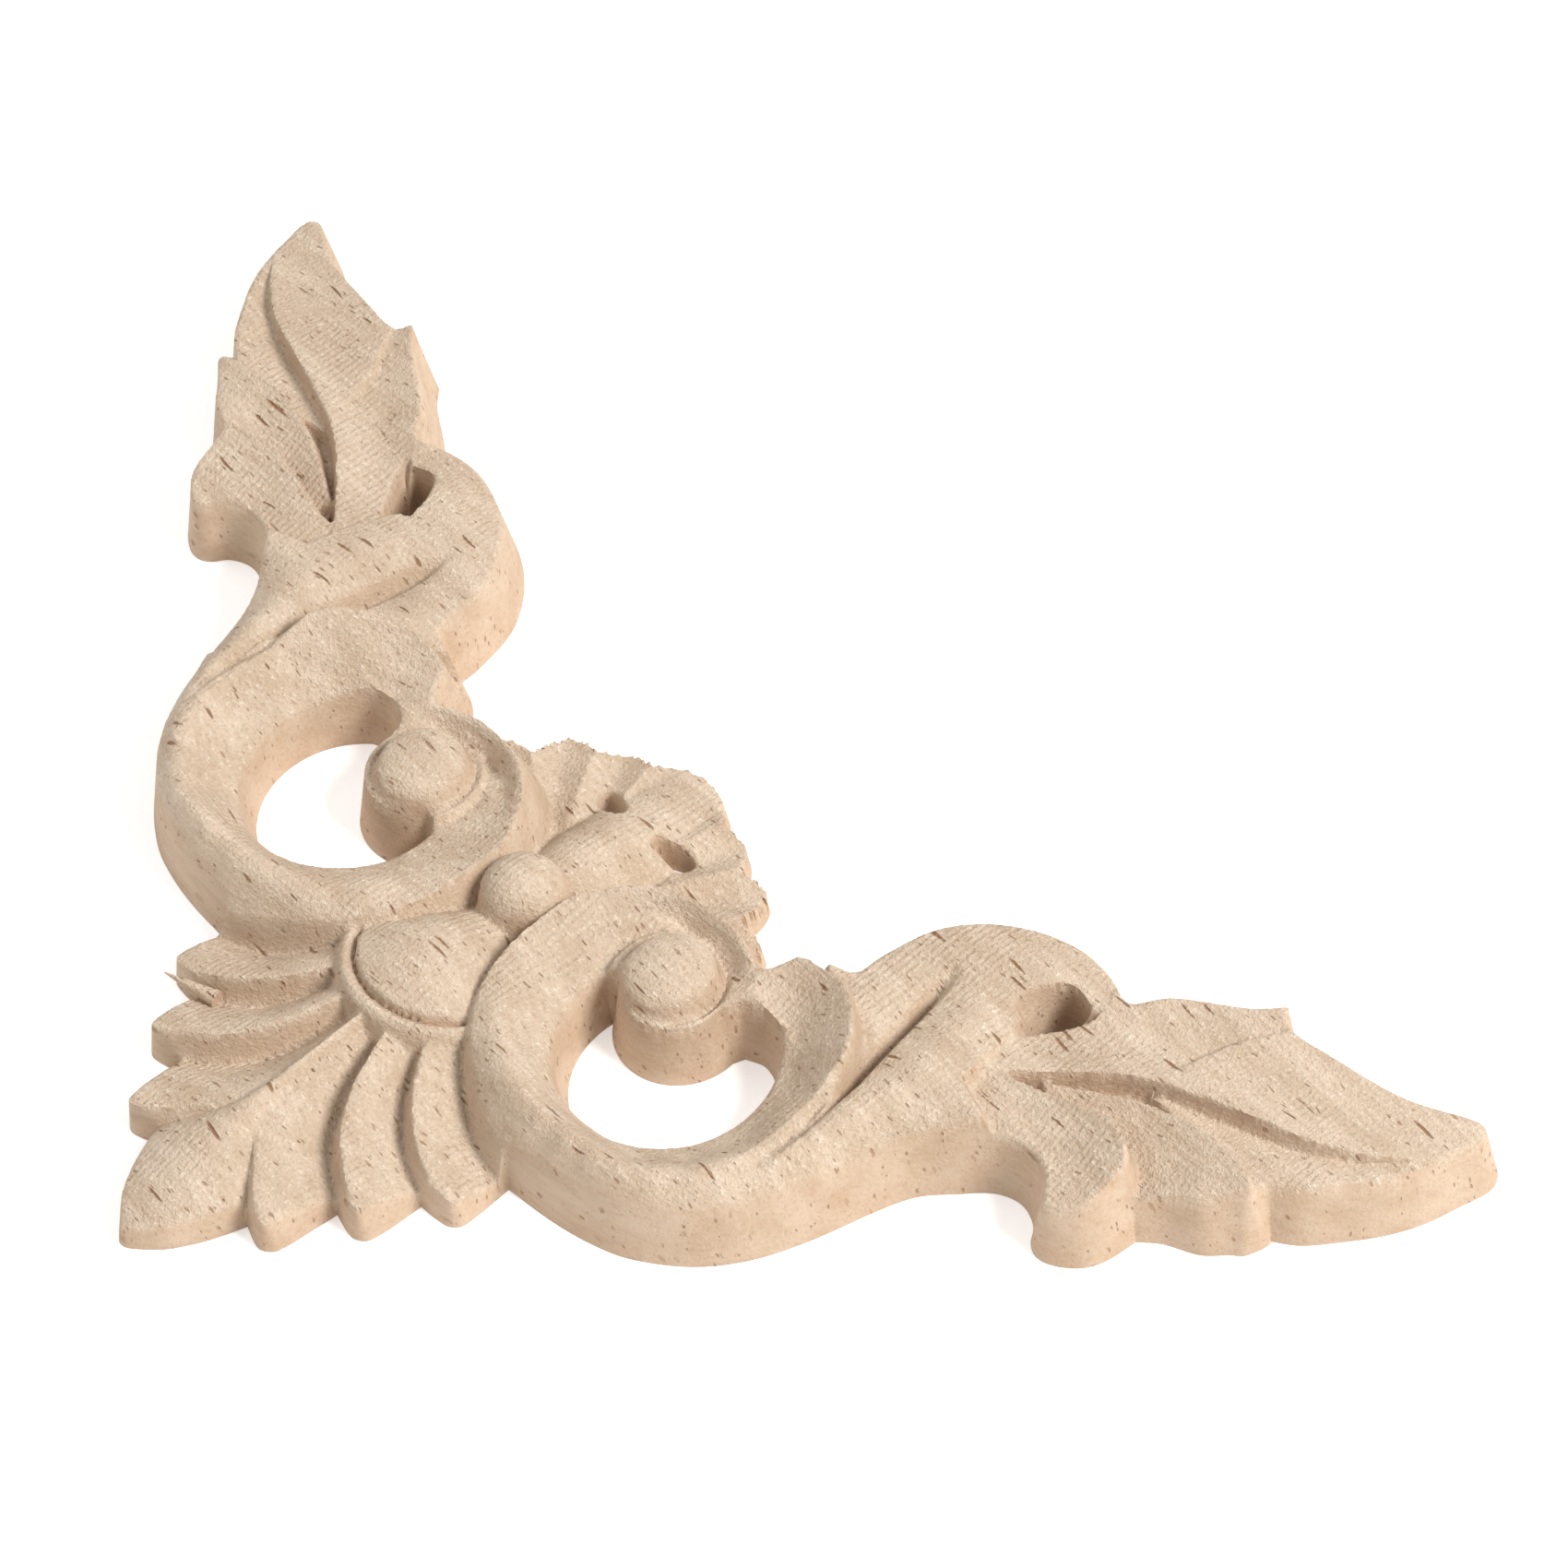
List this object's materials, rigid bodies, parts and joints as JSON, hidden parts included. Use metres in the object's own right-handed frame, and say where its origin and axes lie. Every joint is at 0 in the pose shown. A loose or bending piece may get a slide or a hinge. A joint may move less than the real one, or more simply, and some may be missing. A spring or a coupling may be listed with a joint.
{
  "type": "carved corner onlay",
  "caption": "Flat-backed carved wooden corner ornament with a shell fan at the corner and a scroll, stem and leaf along each arm.",
  "frame": {"origin": "middle of the flat back: centre of the bounding box in X and Y, on the back in Z", "axes": "+X along one arm and +Y along the other, away from the corner; +Z out of the carved face; mirror-symmetric about the plane X = Y"},
  "size_m": [0.0999, 0.1, 0.0089],
  "materials": {
    "wood": "bare, lightly sanded pale rubberwood"
  },
  "bodies": {
    "root": {"corner_onlay": "wood"}
  },
  "joints": []
}
